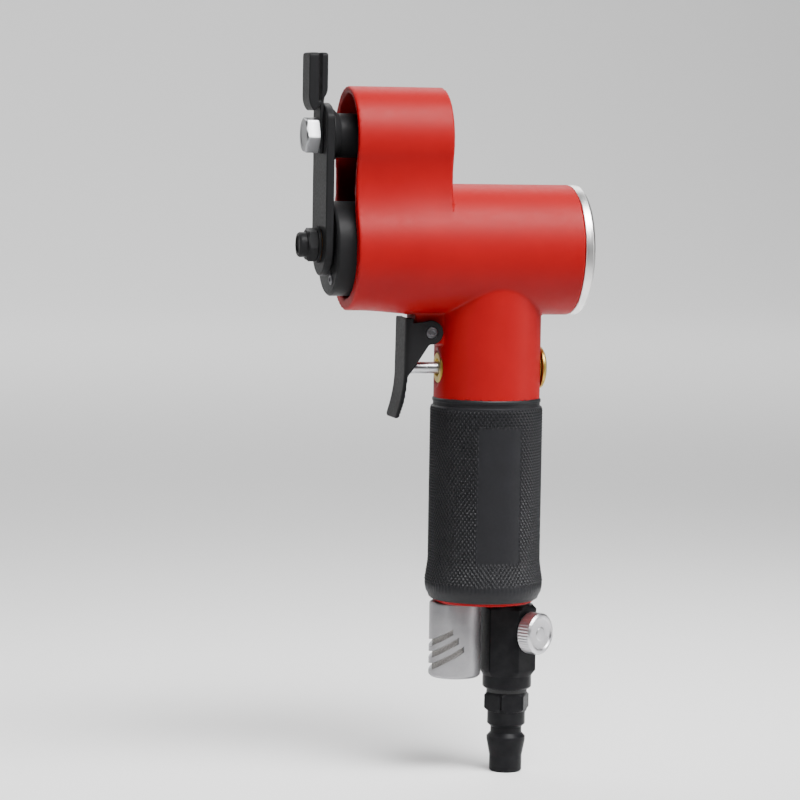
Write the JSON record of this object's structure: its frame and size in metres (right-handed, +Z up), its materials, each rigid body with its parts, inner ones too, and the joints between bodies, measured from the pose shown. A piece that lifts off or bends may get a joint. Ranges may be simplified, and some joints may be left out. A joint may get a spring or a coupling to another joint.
{
  "type": "pneumatic air hammer",
  "caption": "Pistol-grip pneumatic air hammer with a red two-lobed head, a crank-driven fork, a lever trigger, a knurled grip and a quick-connect air plug.",
  "frame": {"origin": "centre of the air plug's lower end", "axes": "+X from the fork towards the rear of the motor barrel, +Z up the handle, Y = 0 the middle plane of the tool"},
  "size_m": [0.0888, 0.04, 0.2212],
  "materials": {
    "red_paint": "satin red paint",
    "polished_alloy": "turned, satin",
    "rubber": "smooth black",
    "motor_steel": "ground",
    "bearing_steel": "polished",
    "vane_composite": "resin-bonded cloth",
    "black_steel": "black oxide, satin",
    "idler_steel": "dark ground steel",
    "bronze": "plain bearing bronze",
    "bright_steel": "zinc plated",
    "brass": "turned",
    "grip_rubber": "knurled matte black",
    "grey_alloy": "bead blasted",
    "felt": "pressed felt",
    "knob_metal": "knurled satin"
  },
  "bodies": {
    "root": {"housing": "red_paint", "end_cap": "polished_alloy", "cap_o_ring": "rubber", "cylinder_liner": "motor_steel", "front_end_plate": "motor_steel", "rear_end_plate": "motor_steel", "front_bearing_outer": "bearing_steel", "front_bearing_balls": "bearing_steel", "rear_bearing_outer": "bearing_steel", "rear_bearing_balls": "bearing_steel", "idler_bearing_outer": "bearing_steel", "idler_bearing_balls": "bearing_steel", "trigger_pin": "bright_steel", "valve_bush": "brass", "bush_o_ring": "rubber", "valve_seat": "brass", "valve_spring": "bright_steel", "rear_plug": "brass", "grip_sleeve": "grip_rubber", "muffler": "grey_alloy", "muffler_felt": "felt", "inlet_body": "black_steel", "inlet_seal": "rubber", "inlet_screen": "bright_steel", "air_plug": "black_steel", "plug_seal": "rubber"},
    "rotor": {"rotor": "motor_steel", "rotor_vanes": "vane_composite", "front_bearing_inner": "bearing_steel", "rear_bearing_inner": "bearing_steel", "crank_disc": "black_steel", "disc_screw": "black_steel", "crank_stud": "black_steel", "crank_washer": "black_steel", "crank_nut": "black_steel"},
    "link": {"link_plate": "black_steel", "link_bush": "bronze", "link_pin": "black_steel", "fork": "black_steel", "clamp_bolt": "bright_steel"},
    "idler": {"idler": "idler_steel", "idler_bearing_inner": "bearing_steel"},
    "trigger": {"trigger": "black_steel"},
    "valve": {"valve_stem": "bearing_steel", "valve_poppet": "rubber"},
    "regulator": {"regulator_knob": "knob_metal", "regulator_spindle": "bright_steel", "spindle_o_ring": "rubber"}
  },
  "joints": [
    {"name": "motor_spin", "type": "hinge", "parent": "root", "child": "rotor", "pos_m": [-0.0082, 0, 0.1621], "axis": [1, 0, 0], "continuous": true},
    {"name": "link_pivot", "type": "hinge", "parent": "rotor", "child": "link", "pos_m": [-0.0608, -0.0016, 0.1633], "axis": [1, 0, 0], "continuous": true},
    {"name": "idler_spin", "type": "hinge", "parent": "root", "child": "idler", "pos_m": [-0.04, 0, 0.1951], "axis": [1, 0, 0], "continuous": true},
    {"name": "trigger_pivot", "type": "hinge", "parent": "root", "child": "trigger", "pos_m": [-0.0278, 0, 0.1369], "axis": [0, -1, 0], "range_deg": [0, 9], "stiffness_Nm_per_rad": 0.6, "springref_deg": -5.73},
    {"name": "valve_slide", "type": "slide", "parent": "root", "child": "valve", "axis": [1, 0, 0], "range_m": [0, 0.0018], "deforming": ["valve_spring"]},
    {"name": "regulator_turn", "type": "hinge", "parent": "root", "child": "regulator", "pos_m": [0, 0, 0.04412], "axis": [0.5948, -0.8039, 0], "range_deg": [0, 270]}
  ],
  "couplings": [
    {"joint": "link_pivot", "follows": "motor_spin", "ratio": -1},
    {"joint": "idler_spin", "follows": "motor_spin", "ratio": 1},
    {"joint": "valve_slide", "follows": "trigger_pivot", "m_per_rad": 0.01114}
  ]
}
